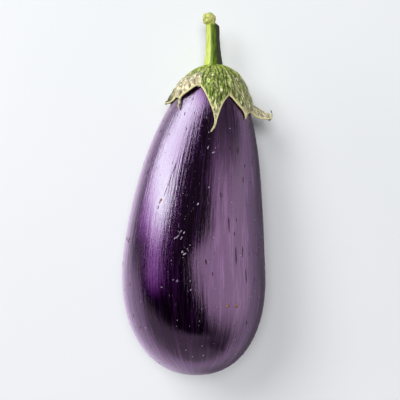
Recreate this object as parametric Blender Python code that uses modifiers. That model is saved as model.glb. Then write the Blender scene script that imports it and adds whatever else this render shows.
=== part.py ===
"""An eggplant lying on its side: the fruit, the calyx that caps its neck, and the cut stem.

Every piece is shaped in the fruit's own frame and parented to one empty, which lays it down. In that frame
+Y runs along the axis from the blossom end to the stem, +X is sideways, and +Z is the side that lies on top.
"Along" is a distance from the blossom end. A "bearing" is an angle about the axis, from the top side towards
+X. A "polar" angle runs over the fruit from 0 at the neck's end to pi at the blossom end.
"""

from math import atan, cos, hypot, pi, radians, sin, tan

import bmesh
import bpy
from mathutils import Vector

# Fruit, in metres. Each end is superelliptic: along ** powers[0] + across ** powers[1] = 1.
FRUIT_LENGTH = 0.1986
BELLY_RADIUS = 0.0468
BELLY_ALONG = 0.0638
NECK_POWERS = (1.6, 2.4)
BLOSSOM_POWERS = (2.2, 2.2)
FRUIT_RINGS = 48
FRUIT_SEGMENTS = 64

# The axis is straight at the belly and bends sideways towards both ends.
STRAIGHT_ALONG = 0.069
NECK_SWAY = 0.0136
BLOSSOM_SWAY = 0.0019
SWAY_POWER = 1.5

# Where the fruit lies on its belly. Its slope there sets how far the neck end dips.
CONTACT_ALONG = 0.0945
FLAT_DEPTH = 0.0010
TABLE_SIZE = (0.20, 0.30, 0.02)

# Calyx. Its thickness falls from the crown to the sepals' edges.
GAP = 0.0003
CROWN_THICKNESS = 0.0056
EDGE_THICKNESS = 0.0016
THINNING_POWER = 1.0
CURL_ALONG = 0.1840
CURL_POWER = 1.8
CALYX_RINGS = 15
SEGMENTS_PER_SEPAL = 12
SEAT_ALONG = 0.2030
SEAT_CUTTER_SIZE = (0.06, 0.02, 0.06)

# A sepal's outline: a share of it tapers evenly, and the rest draws out its point.
TAPER_SHARE = 0.55
TAPER_POWER = 1.25
POINT_POWER = 5.0

# Each sepal: the bearing and the place along of the notch before it, then of its tip, and the tip's lift.
SEPALS = (
    (-18, 0.1866, 7, 0.1536, 0.0004),
    (32, 0.1820, 57, 0.1646, 0.0008),
    (69, 0.1706, 97, 0.1641, 0.0145),
    (125, 0.1796, 152, 0.1626, 0.0008),
    (180, 0.1826, 207, 0.1636, 0.0008),
    (235, 0.1806, 265, 0.1771, 0.0045),
    (300, 0.1821, 315, 0.1746, 0.0012),
)

# Stem. It flares at its foot, leans towards -X, and its cut end slants.
STEM_RADIUS = 0.0046
FOOT_FLARE = 0.0020
FLARE_POWER = 2
STEM_END_ALONG = 0.2357
FOOT_SWAY = 0.0132
STEM_LEAN = -0.0022
LEAN_POWER = 4
CUT_SLANT = -0.68
STEM_RIDGES = 5
RIDGE_DEPTH = 0.0004
STEM_RINGS = 14
STEM_SEGMENTS = 40

SHARP_ANGLE = radians(40)

# Finishes: linear base colour and roughness.
SKIN_FINISH = ((0.020, 0.003, 0.022), 0.15)
CALYX_FINISH = ((0.25, 0.30, 0.07), 0.60)
STEM_FINISH = ((0.20, 0.28, 0.04), 0.50)


def clear_scene():
    for item in list(bpy.data.objects):
        bpy.data.objects.remove(item, do_unlink=True)


def new_collection(name):
    collection = bpy.data.collections.new(name)
    bpy.context.scene.collection.children.link(collection)
    return collection


def new_material(name, finish):
    colour, roughness = finish
    material = bpy.data.materials.new(name)
    material.use_nodes = True
    shader = material.node_tree.nodes["Principled BSDF"]
    shader.inputs["Base Color"].default_value = (*colour, 1.0)
    shader.inputs["Roughness"].default_value = roughness
    shader.inputs["Metallic"].default_value = 0.0
    return material


def new_object(name, shape, collection, parent=None):
    """Turns a bmesh into an object, smooth except across its sharp edges."""
    mesh = bpy.data.meshes.new(name)
    shape.normal_update()
    bmesh.ops.recalc_face_normals(shape, faces=shape.faces)
    shape.to_mesh(mesh)
    shape.free()
    mesh.shade_smooth()
    mesh.set_sharp_from_angle(angle=SHARP_ANGLE)
    item = bpy.data.objects.new(name, mesh)
    item.parent = parent
    collection.objects.link(item)
    return item


def new_cutter(name, size, centre, collection, parent=None):
    """A box that cuts other pieces and is never shown."""
    shape = bmesh.new()
    bmesh.ops.create_cube(shape, size=1.0)
    bmesh.ops.scale(shape, vec=size, verts=shape.verts)
    cutter = new_object(name, shape, collection, parent)
    cutter.location = centre
    cutter.display_type = "WIRE"
    cutter.hide_render = True
    return cutter


def cut(item, cutter):
    boolean = item.modifiers.new(f"cut_{cutter.name}", "BOOLEAN")
    boolean.operation = "DIFFERENCE"
    boolean.solver = "EXACT"
    boolean.object = cutter


def mix(start, end, share):
    return start + (end - start) * share


def sway(along):
    """How far the axis stands from its straight middle, towards +X."""
    if along < STRAIGHT_ALONG:
        return BLOSSOM_SWAY * ((STRAIGHT_ALONG - along) / STRAIGHT_ALONG) ** SWAY_POWER
    reach = (along - STRAIGHT_ALONG) / (FRUIT_LENGTH - STRAIGHT_ALONG)
    return NECK_SWAY * reach**SWAY_POWER


def outline(polar):
    """(along, radius) of the fruit's outline at a polar angle."""
    if polar < pi / 2:
        reach, powers = FRUIT_LENGTH - BELLY_ALONG, NECK_POWERS
    else:
        reach, powers = -BELLY_ALONG, BLOSSOM_POWERS
    along = BELLY_ALONG + reach * abs(cos(polar)) ** (2 / powers[0])
    return along, BELLY_RADIUS * max(sin(polar), 0.0) ** (2 / powers[1])


def polar_at(along):
    """The polar angle of a place along the neck's half."""
    reach = (along - BELLY_ALONG) / (FRUIT_LENGTH - BELLY_ALONG)
    power, share = NECK_POWERS[0], min(max(reach, 0.0), 1.0)
    return pi / 2 - atan(share ** (power / 2) / max(1 - share**power, 1e-12) ** 0.5)


def outline_normal(polar):
    """The outline's outward normal, as (along, radius)."""
    step = 1e-4
    before, after = outline(max(polar - step, 0.0)), outline(min(polar + step, pi))
    fall, growth = after[0] - before[0], after[1] - before[1]
    size = hypot(fall, growth)
    return growth / size, -fall / size


def skin_point(polar, bearing, lift=0.0):
    """A point on the fruit's skin, or lifted off it by a distance."""
    along, radius = outline(polar)
    normal = outline_normal(polar)
    along += lift * normal[0]
    radius += lift * normal[1]
    return Vector((sway(along) + radius * sin(bearing), along, radius * cos(bearing)))


def sphere_angles(point):
    """The polar angle and bearing of a point on the unit sphere whose poles lie on Z."""
    polar = pi / 2 - atan(point.z / max(hypot(point.x, point.y), 1e-9))
    return polar, Vector((point.y, point.x)).angle_signed(Vector((1, 0)), 0.0) % (2 * pi)


def slope_of_lie():
    """(tilt, pivot, radius): the tilt that levels the belly at the contact, and the place above it along."""
    polar = polar_at(CONTACT_ALONG)
    normal = outline_normal(polar)
    radius = outline(polar)[1]
    tilt = atan(normal[0] / normal[1])
    return tilt, CONTACT_ALONG - radius * tan(tilt), radius


def lying_empty(collection):
    """The empty that lays every piece down, with the contact at the world's origin."""
    tilt, pivot, radius = slope_of_lie()
    empty = bpy.data.objects.new("lying", None)
    collection.objects.link(empty)
    empty.rotation_euler = (-tilt, 0.0, 0.0)
    height = radius / cos(tilt) - FLAT_DEPTH
    empty.location = (-sway(CONTACT_ALONG), -pivot * cos(tilt), height + pivot * sin(tilt))
    return empty


def make_fruit(collection, parent, table):
    shape = bmesh.new()
    bmesh.ops.create_uvsphere(shape, u_segments=FRUIT_SEGMENTS, v_segments=FRUIT_RINGS, radius=1.0)
    for vert in shape.verts:
        vert.co = skin_point(*sphere_angles(vert.co))
    fruit = new_object("fruit", shape, collection, parent)
    fruit.data.materials.append(new_material("fruit_skin", SKIN_FINISH))
    cut(fruit, table)
    return fruit


def sepal_edge(turn):
    """(bearing, polar, tip's polar, tip's lift, share) of the calyx's edge.

    Turn counts sepals from the first notch, and share runs from 0 at a notch to 1 at a tip.
    """
    index, part = divmod(turn, 1)
    before = SEPALS[int(index) % len(SEPALS)]
    after = SEPALS[(int(index) + 1) % len(SEPALS)]
    notch = before if part < 0.5 else after
    share = 1 - abs(2 * part - 1)
    past_full_turn = 360 if notch[0] < before[0] else 0
    bearing = radians(mix(notch[0] + past_full_turn, before[2], share))
    pointed = mix(share**POINT_POWER, share**TAPER_POWER, TAPER_SHARE)
    tip_polar = polar_at(before[3])
    return bearing, mix(polar_at(notch[1]), tip_polar, pointed), tip_polar, before[4], share


def make_calyx(collection, parent, seat):
    """A sphere's cap, spread over the neck with its rim as the sepals, then thickened outwards."""
    segments = SEGMENTS_PER_SEPAL * len(SEPALS)
    shape = bmesh.new()
    bmesh.ops.create_uvsphere(shape, u_segments=segments, v_segments=CALYX_RINGS + 1, radius=1.0)
    pole = min(shape.verts, key=lambda vert: vert.co.z)
    bmesh.ops.delete(shape, geom=[pole], context="VERTS")
    curl_polar = polar_at(CURL_ALONG)
    weights = []
    for vert in shape.verts:
        angle, around = sphere_angles(vert.co)
        row = angle * (CALYX_RINGS + 1) / pi / CALYX_RINGS
        turn = round(around / (2 * pi) * segments) / SEGMENTS_PER_SEPAL
        bearing, edge, tip, lift, share = sepal_edge(turn)
        polar = edge * row
        curl = max((polar - curl_polar) / (tip - curl_polar), 0.0) ** CURL_POWER
        vert.co = skin_point(polar, bearing, GAP + lift * curl * sin(share * pi / 2))
        weights.append(1 - row**THINNING_POWER)
    calyx = new_object("calyx", shape, collection, parent)
    calyx.data.materials.append(new_material("calyx_flesh", CALYX_FINISH))
    thickness = calyx.vertex_groups.new(name="thickness")
    for index, weight in enumerate(weights):
        thickness.add([index], weight, "REPLACE")
    shell = calyx.modifiers.new("shell", "SOLIDIFY")
    shell.thickness = CROWN_THICKNESS
    shell.offset = 1.0
    shell.vertex_group = thickness.name
    shell.thickness_vertex_group = EDGE_THICKNESS / CROWN_THICKNESS
    cut(calyx, seat)
    return calyx


def make_stem(collection, parent):
    """A cylinder with loop cuts, ridged, flared at its foot and leaning towards its slanted cut end."""
    shape = bmesh.new()
    bmesh.ops.create_cone(
        shape, cap_ends=True, segments=STEM_SEGMENTS, radius1=1.0, radius2=1.0, depth=1.0
    )
    long_edges = [edge for edge in shape.edges if abs(edge.verts[0].co.z - edge.verts[1].co.z) > 0.5]
    bmesh.ops.subdivide_edges(shape, edges=long_edges, cuts=STEM_RINGS - 1)
    foot = SEAT_ALONG + GAP
    for vert in shape.verts:
        height = vert.co.z + 0.5
        bearing = Vector((vert.co.y, vert.co.x)).angle_signed(Vector((1, 0)))
        radius = STEM_RADIUS + FOOT_FLARE * (1 - height) ** FLARE_POWER
        radius += RIDGE_DEPTH * cos(STEM_RIDGES * bearing)
        across = radius * sin(bearing)
        along = mix(foot, STEM_END_ALONG + CUT_SLANT * across, height)
        centre = FOOT_SWAY + STEM_LEAN * height**LEAN_POWER
        vert.co = Vector((centre + across, along, radius * cos(bearing)))
    stem = new_object("stem", shape, collection, parent)
    stem.data.materials.append(new_material("stem_bark", STEM_FINISH))
    return stem


def main():
    clear_scene()
    parts = new_collection("eggplant")
    cutters = new_collection("cutters")
    lying = lying_empty(parts)
    table = new_cutter("table", TABLE_SIZE, (0.0, 0.0, -TABLE_SIZE[2] / 2), cutters)
    seat_centre = (NECK_SWAY, SEAT_ALONG + SEAT_CUTTER_SIZE[1] / 2, 0.0)
    seat = new_cutter("seat", SEAT_CUTTER_SIZE, seat_centre, cutters, lying)
    make_fruit(parts, lying, table)
    make_calyx(parts, lying, seat)
    make_stem(parts, lying)


main()
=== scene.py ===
from math import atan, cos, pi, radians, sin, tan

import bmesh
import bpy
import numpy as np
from mathutils import Matrix, Vector, noise


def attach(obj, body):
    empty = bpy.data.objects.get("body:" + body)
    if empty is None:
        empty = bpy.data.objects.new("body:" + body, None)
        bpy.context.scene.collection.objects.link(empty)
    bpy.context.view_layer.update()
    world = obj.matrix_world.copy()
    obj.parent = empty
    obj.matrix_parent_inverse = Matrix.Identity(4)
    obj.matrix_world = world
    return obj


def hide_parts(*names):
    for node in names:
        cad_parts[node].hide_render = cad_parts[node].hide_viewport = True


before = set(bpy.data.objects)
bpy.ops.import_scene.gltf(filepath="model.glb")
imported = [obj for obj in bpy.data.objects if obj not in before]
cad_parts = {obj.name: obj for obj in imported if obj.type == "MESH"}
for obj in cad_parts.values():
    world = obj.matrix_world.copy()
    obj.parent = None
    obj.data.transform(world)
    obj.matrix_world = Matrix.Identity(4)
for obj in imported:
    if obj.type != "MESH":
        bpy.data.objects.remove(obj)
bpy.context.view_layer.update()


# Sizes are in metres. "Along" runs up the fruit's axis from its blossom end, "bearing" is an angle about
# the axis from the top side towards +X, and "polar" runs over the skin from 0 at the neck's end to pi.

fruitShape = {
    "length": 0.1986,
    "bellyRadius": 0.0468,
    "bellyAlong": 0.0638,
    "neckAlongPower": 1.6,       # lower is more pointed
    "neckAcrossPower": 2.4,
    "blossomPower": 2.2,
    "straightAlong": 0.069,      # the axis bends sideways away from here
    "neckSway": 0.0136,
    "blossomSway": 0.0019,
    "swayPower": 1.5,
    "contactAlong": 0.0945,      # the belly is level here, so the fruit lies on it
    "flatDepth": 0.0010,
}


def mix(start, end, share):
    return start + (end - start) * share


def smooth(low, high, value):     # 0 below low, 1 above high, and no corner between
    share = np.clip((value - low) / (high - low), 0.0, 1.0)
    return share * share * (3 - 2 * share)


def sway(along):
    shape = fruitShape
    below = np.clip(1 - along / shape["straightAlong"], 0.0, None)
    above = (along - shape["straightAlong"]) / (shape["length"] - shape["straightAlong"])
    bend = shape["blossomSway"] * below ** shape["swayPower"]
    return bend + shape["neckSway"] * np.clip(above, 0.0, None) ** shape["swayPower"]


def outline(polar):               # (along, radius) of the fruit's outline
    shape = fruitShape
    isNeck = polar < pi / 2
    reach = np.where(isNeck, shape["length"] - shape["bellyAlong"], -shape["bellyAlong"])
    alongPower = np.where(isNeck, shape["neckAlongPower"], shape["blossomPower"])
    acrossPower = np.where(isNeck, shape["neckAcrossPower"], shape["blossomPower"])
    along = shape["bellyAlong"] + reach * np.abs(np.cos(polar)) ** (2 / alongPower)
    return along, shape["bellyRadius"] * np.clip(np.sin(polar), 0.0, None) ** (2 / acrossPower)


def outlineNormal(polar):         # (along, radius) of the outward normal
    step = 1e-4
    before, after = outline(np.maximum(polar - step, 0.0)), outline(np.minimum(polar + step, pi))
    fall, growth = after[0] - before[0], after[1] - before[1]
    size = np.hypot(fall, growth)
    return growth / size, -fall / size


def polarAt(along):
    shape = fruitShape
    belly = shape["bellyAlong"]
    neckSide = along > belly
    share = np.where(neckSide, (along - belly) / (shape["length"] - belly), (belly - along) / belly)
    share = np.clip(share, 0.0, 1.0)
    power = np.where(neckSide, shape["neckAlongPower"], shape["blossomPower"])
    turn = np.arctan(share ** (power / 2) / np.sqrt(np.maximum(1 - share**power, 1e-12)))
    return np.where(neckSide, pi / 2 - turn, pi / 2 + turn)


def skinPoints(polar, bearing, lift):
    along, radius = outline(polar)
    normal = outlineNormal(polar)
    along = along + lift * normal[0]
    radius = radius + lift * normal[1]
    return np.stack([sway(along) + radius * np.sin(bearing), along, radius * np.cos(bearing)], -1)


def layDownMatrix():              # from the fruit's own frame to where it lies
    polar = polarAt(fruitShape["contactAlong"])
    normal, radius = outlineNormal(polar), outline(polar)[1]
    tilt = atan(normal[0] / normal[1])
    pivot = fruitShape["contactAlong"] - radius * tan(tilt)
    height = radius / cos(tilt) - fruitShape["flatDepth"]
    toPivot = Matrix.Translation((-sway(fruitShape["contactAlong"]), -pivot, 0.0))
    return Matrix.Translation((0.0, 0.0, height)) @ Matrix.Rotation(-tilt, 4, "X") @ toPivot


layDown = layDownMatrix()


def linearColour(code):           # an sRGB hex colour as the linear RGBA that nodes take
    parts = [int(code[place : place + 2], 16) / 255 for place in (1, 3, 5)]
    return tuple(c / 12.92 if c <= 0.04045 else ((c + 0.055) / 1.055) ** 2.4 for c in parts) + (1.0,)


def addNode(tree, kind, feeds=None, stops=None, **settings):
    node = tree.nodes.new(kind)
    for name, value in settings.items():
        setattr(node, name, value)
    for key, feed in (feeds or {}).items():
        if isinstance(feed, bpy.types.Node):
            feed = feed.outputs[0]
        if isinstance(feed, bpy.types.NodeSocket):
            tree.links.new(feed, node.inputs[key])
        else:
            node.inputs[key].default_value = feed
    if stops:                     # a colour ramp's (place, colour) stops
        ramp = node.color_ramp
        while len(ramp.elements) < len(stops):
            ramp.elements.new(0.5)
        for element, (place, colour) in zip(ramp.elements, stops):
            element.position, element.color = place, linearColour(colour)
    return node


def mathIn(tree):                 # a calc(operation, *values) that adds its sums to this tree
    def calc(operation, *values):
        return addNode(tree, "ShaderNodeMath", dict(enumerate(values)), operation=operation).outputs[0]

    return calc


def newMaterial(name):            # (material, its tree, its shader), with nothing else in it
    material = bpy.data.materials.new(name)
    material.use_nodes = True
    tree = material.node_tree
    return material, tree, tree.nodes["Principled BSDF"]


def finishPiece(name, mesh, material, slot, *nodes):
    mesh.materials.clear()
    mesh.materials.append(material)
    mesh.shade_smooth()
    piece = bpy.data.objects.new(name, mesh)
    bpy.context.scene.collection.objects.link(piece)
    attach(piece, "root")
    if nodes:
        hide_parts(*nodes)
    print(f"{name}: {len(mesh.polygons)} faces")
    return piece


def meshFromTree(name, tree, values, start=None):   # runs a Geometry Nodes tree and keeps its plain mesh
    carrier = bpy.data.objects.new(name + "Carrier", start or bpy.data.meshes.new(name))
    bpy.context.scene.collection.objects.link(carrier)
    modifier = carrier.modifiers.new("rule", "NODES")
    modifier.node_group = tree
    for item in tree.interface.items_tree:
        if item.item_type == "SOCKET" and item.in_out == "INPUT" and item.name in values:
            modifier[item.identifier] = values[item.name]
    graph = bpy.context.evaluated_depsgraph_get()
    evaluated = carrier.evaluated_get(graph)
    made = bpy.data.meshes.new_from_object(evaluated, preserve_all_data_layers=True, depsgraph=graph)
    carrier.modifiers.remove(modifier)
    bpy.data.objects.remove(carrier)
    made.name = name
    return made


def newTree(name, sizes, takesGeometry=False):      # (a Geometry Nodes tree with named inputs, its inputs)
    tree = bpy.data.node_groups.new(name, "GeometryNodeTree")
    if takesGeometry:
        tree.interface.new_socket("Geometry", in_out="INPUT", socket_type="NodeSocketGeometry")
    for label, value in sizes.items():
        kind = "NodeSocketInt" if isinstance(value, int) else "NodeSocketFloat"
        socket = tree.interface.new_socket(label, in_out="INPUT", socket_type=kind)
        socket.default_value = value
    tree.interface.new_socket("Geometry", in_out="OUTPUT", socket_type="NodeSocketGeometry")
    return tree, addNode(tree, "NodeGroupInput").outputs


def setTone(mesh, name, values):  # four shares for each point, which a material reads by name
    layer = mesh.attributes.new(name, "FLOAT_COLOR", "POINT")
    layer.data.foreach_set("color", np.asarray(values, np.float32).ravel())


def bumpyNoise(points, size, seed):                 # -1 to 1 at each point, for bumps of this size
    shift = Vector((seed, 2.3 * seed, -1.7 * seed))
    return np.array([noise.noise(Vector(point) / size + shift) for point in points])


# Camera: straight above, with the stem towards the top of the picture.

cameraView = {
    "distance": 0.65,            # from the fruit's axis
    "fieldWidth": 0.264,         # what the picture's width spans at the axis
    "centreAlong": 0.1140,
    "centreAcross": 0.0043,
    "sensorWidth": 36.0,
}


def makeCamera():
    view = cameraView
    centre = layDown @ Vector((view["centreAcross"], view["centreAlong"], 0.0))
    data = bpy.data.cameras.new("camera")
    data.sensor_width = view["sensorWidth"]
    data.lens = view["sensorWidth"] * view["distance"] / view["fieldWidth"]
    camera = bpy.data.objects.new("camera", data)
    camera.location = centre + Vector((0.0, 0.0, view["distance"]))
    bpy.context.scene.collection.objects.link(camera)
    bpy.context.scene.camera = camera
    bpy.context.scene.view_settings.view_transform = "Standard"
    print("camera ready")


makeCamera()


# Studio: a pale table under soft lights, and the room that the glossy skin mirrors. In the room, "side" is a
# direction's angle from straight up towards +X, and "rise" is its angle towards the stem, both in degrees.

studio = {
    "tableReach": 3.0,
    "backdrop": "#eef0f2",
    "ambient": 0.08,
    "wallGlow": 2.1,             # the wall and ceiling on the right
    "lowGlow": 0.42,             # the room beyond the blossom end
    "windowGlow": 8.4,
    "windowColour": (0.90, 1.20, 0.99),
    "windowFade": (1.15, 1.9, 1.05),     # its dim edges are violet
    "tableTint": (1.0, 0.84, 1.10),
    "darkGlow": 0.006,           # the dark middle of the ceiling
    "upperDarkGlow": 0.06,       # and its part nearer to the stem
}
roomEdges = {                    # where each soft edge starts and ends, in degrees of side or rise
    "darkBend": (11.0, 21.0),
    "darkRight": (-4.0, 5.0),
    "lowWallTop": (-1.5, 2.0),
    "wallTop": (14.0, 44.0),
    "wallFoot": (-47.0, -8.0),
    "wallFarSide": (62.0, 104.0),
    "cornerRise": (14.0, 32.0),
    "cornerSide": (38.0, 60.0),
    "arcLeft": (8.0, 42.0),
    "arcRight": (130.0, 105.0),
    "arcFoot": (-63.0, -57.0),
    "arcTop": (-45.0, -51.0),
    "lowWallLeft": (-85.0, -115.0),
    "lowWallFoot": (-58.0, -80.0),
    "rimSide": (-120.0, -127.0),
    "rimRise": (-12.0, 12.0),
    "darkLineLeft": (-129.0, -121.0),
    "darkLineRight": (-98.0, -108.0),
    "darkLineRise": (-4.0, 8.0),
    "windowBend": (52.0, 72.0),
    "windowRight": (6.0, -8.0),
    "windowLeft": (-117.0, -101.0),
    "windowFoot": (10.0, 27.0),
    "windowTop": (82.0, 56.0),
    "tailRight": (-52.0, -62.0),
    "tailLeft": (-82.0, -71.0),
    "tailFoot": (-12.0, 10.0),
    "tailTop": (40.0, 20.0),
    "darkTop": (4.0, 28.0),
}
softLights = (                   # (name, kind, place, size, power); they light matt surfaces only
    ("topLight", "SUN", (-0.02, 0.17, 1.40), radians(22), 1.58),
    ("keyLight", "AREA", (-0.84, 0.82, 1.50), 0.95, 17.2),
    ("lowLight", "AREA", (-1.40, 0.25, 0.50), 0.80, 2.4),
)


def addSoftLight(name, kind, place, size, power):
    data = bpy.data.lights.new(name, kind)
    if kind == "SUN":
        data.angle = size
    else:
        data.shape, data.size = "SQUARE", size
    data.energy = power
    light = bpy.data.objects.new(name, data)
    light.location = place
    facing = Vector((0.0, 0.02, 0.03)) - light.location
    light.rotation_euler = facing.to_track_quat("-Z", "Y").to_euler()
    light.visible_camera = False
    light.visible_glossy = False
    bpy.context.scene.collection.objects.link(light)


def makeRoom():
    world = bpy.data.worlds.new("room")
    world.use_nodes = True
    tree = world.node_tree
    background = tree.nodes["Background"]
    at = roomEdges

    calc = mathIn(tree)

    def edge(value, low, high, start=0.0, end=1.0):       # a soft step from start at low to end at high
        feeds = {"Value": value, "From Min": low, "From Max": high, "To Min": start, "To Max": end}
        return addNode(tree, "ShaderNodeMapRange", feeds, interpolation_type="SMOOTHSTEP").outputs[0]

    def product(first, *others):
        for other in others:
            first = calc("MULTIPLY", first, other)
        return first

    direction = addNode(tree, "ShaderNodeTexCoord").outputs["Generated"]
    parts = addNode(tree, "ShaderNodeSeparateXYZ", {0: direction}).outputs
    side = calc("MULTIPLY", calc("ARCTAN2", parts[0], parts[2]), 180 / pi)
    rise = calc("MULTIPLY", calc("ARCSINE", parts[1]), 180 / pi)

    # The dark middle ends in a slanting line on the right and in a curve towards the blossom end.
    darkRight = calc("MAXIMUM", calc("MULTIPLY_ADD", rise, -0.75, 7.5), -5.0)
    darkRight = calc("ADD", darkRight, edge(rise, *at["darkBend"], 0.0, 36.0))
    rightOfDark = edge(calc("SUBTRACT", side, darkRight), *at["darkRight"])
    leftOnly = calc("MINIMUM", side, 0.0)
    lowEdge = calc("MULTIPLY_ADD", product(leftOnly, leftOnly), 0.0046, -44.5)
    belowDark = edge(calc("SUBTRACT", lowEdge, rise), *at["lowWallTop"])
    fades = (edge(rise, *at["wallTop"], 1.0, 0.24), edge(rise, *at["wallFoot"], 0.06, 1.0))
    sideFades = (edge(side, *at["wallFarSide"], 1.0, 0.62), edge(rise, *at["cornerRise"]))
    shadyCorner = calc("MULTIPLY_ADD", product(sideFades[1], edge(side, *at["cornerSide"])), -0.82, 1.0)
    rightWall = product(rightOfDark, *fades, sideFades[0], shadyCorner, studio["wallGlow"])
    arcSides = product(edge(side, *at["arcLeft"]), edge(side, *at["arcRight"]))
    arc = product(arcSides, edge(rise, *at["arcFoot"]), edge(rise, *at["arcTop"]))
    lowLeft, lowFoot = edge(side, *at["lowWallLeft"], 0.0, 0.18), edge(rise, *at["lowWallFoot"], 0.0, 0.10)
    lowLevel = calc("ADD", calc("ADD", lowLeft, lowFoot), studio["lowGlow"])
    lowWall = product(belowDark, lowLevel, calc("MULTIPLY_ADD", arc, -0.85, 1.0))
    leftRim = product(edge(side, *at["rimSide"]), edge(rise, *at["rimRise"], 0.45, 1.4))
    wall = calc("MAXIMUM", calc("MAXIMUM", rightWall, lowWall), leftRim)

    # Below the horizon there is the pale table, in shade on the right.
    shadyTable = edge(parts[2], -0.85, -0.15, 0.12, 1.0)
    onLeft = edge(parts[0], 0.2, -0.4)
    tableLevel = calc("MULTIPLY_ADD", calc("SUBTRACT", 1.2, shadyTable), onLeft, shadyTable)
    isTable = edge(parts[2], -0.04, -0.20)
    level = calc("MULTIPLY_ADD", calc("SUBTRACT", tableLevel, wall), isTable, wall)
    darkLine = product(edge(side, *at["darkLineLeft"]), edge(side, *at["darkLineRight"]))
    darkLine = product(darkLine, edge(rise, *at["darkLineRise"]))
    level = product(level, calc("MULTIPLY_ADD", darkLine, -0.95, 1.0))

    # The tall window on the left.
    windowRight = calc("MAXIMUM", calc("MULTIPLY_ADD", rise, 0.62, -69.0), -60.0)
    windowRight = calc("ADD", windowRight, edge(rise, *at["windowBend"], 0.0, 26.0))
    window = product(
        edge(calc("SUBTRACT", side, windowRight), *at["windowRight"]),
        edge(side, *at["windowLeft"]),
        edge(rise, *at["windowFoot"]),
        edge(rise, *at["windowTop"]),
    )
    glow = product(edge(side, *at["tailRight"]), edge(side, *at["tailLeft"]))
    glow = product(glow, edge(rise, *at["tailFoot"]), edge(rise, *at["tailTop"]), 0.42)
    window = calc("ADD", window, glow)
    dark = edge(rise, *at["darkTop"], studio["darkGlow"], studio["upperDarkGlow"])
    level = calc("ADD", level, dark)
    tints = [calc("MULTIPLY_ADD", isTable, share - 1.0, 1.0) for share in studio["tableTint"]]
    walls = [product(level, tint) for tint in tints]
    panes = [calc("POWER", window, power) for power in studio["windowFade"]]
    tinted = [
        calc("MULTIPLY_ADD", pane, share * studio["windowGlow"], wallShare)
        for pane, share, wallShare in zip(panes, studio["windowColour"], walls)
    ]
    mirrored = addNode(tree, "ShaderNodeCombineXYZ", dict(enumerate(tinted)))

    path = addNode(tree, "ShaderNodeLightPath").outputs
    soft = (studio["ambient"],) * 3 + (1.0,)
    feeds = {0: path["Is Glossy Ray"], 6: soft, 7: mirrored}
    forMatt = addNode(tree, "ShaderNodeMix", feeds, data_type="RGBA")
    feeds = {0: path["Is Camera Ray"], 6: forMatt.outputs[2], 7: linearColour(studio["backdrop"])}
    seen = addNode(tree, "ShaderNodeMix", feeds, data_type="RGBA")
    tree.links.new(seen.outputs[2], background.inputs["Color"])
    bpy.context.scene.world = world


def makeStudio():
    material, tree, shader = newMaterial("mattPaintedTable")     # flat paint, no gloss
    grain = addNode(tree, "ShaderNodeTexCoord").outputs["Object"]
    cloud = addNode(tree, "ShaderNodeTexNoise", {"Vector": grain, "Scale": 3.0, "Detail": 2.0})
    colour = addNode(tree, "ShaderNodeValToRGB", {0: cloud}, stops=[(0.3, "#f1f4f7"), (0.7, "#f5f7fa")])
    tree.links.new(colour.outputs[0], shader.inputs["Base Color"])
    shader.inputs["Roughness"].default_value = 0.9
    shader.inputs["Specular IOR Level"].default_value = 0.0
    reach = studio["tableReach"]
    mesh = bpy.data.meshes.new("table")
    corners = [(-reach, -reach, 0), (reach, -reach, 0), (reach, reach, 0), (-reach, reach, 0)]
    mesh.from_pydata(corners, [], [(0, 1, 2, 3)])
    mesh.materials.append(material)
    table = bpy.data.objects.new("table", mesh)
    table.visible_glossy = False                     # the room's light holds the mirrored table
    bpy.context.scene.collection.objects.link(table)
    for light in softLights:
        addSoftLight(*light)
    makeRoom()
    print("studio ready")


makeStudio()


# The fruit: one rule makes its outline, its bend, its faint lumps and the scar at its blossom end.

fruitSkin = {
    "Segments": 320,
    "Rings": 240,
    "Lump Depth": 0.0009,        # broad, shallow unevenness
    "Flute Depth": 0.00036,      # faint ridges that run from end to end
    "Scar Depth": 0.0014,
    "Scar Width": 0.055,         # as a share of the belly's radius
    "Seed": 7.0,
}


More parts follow.
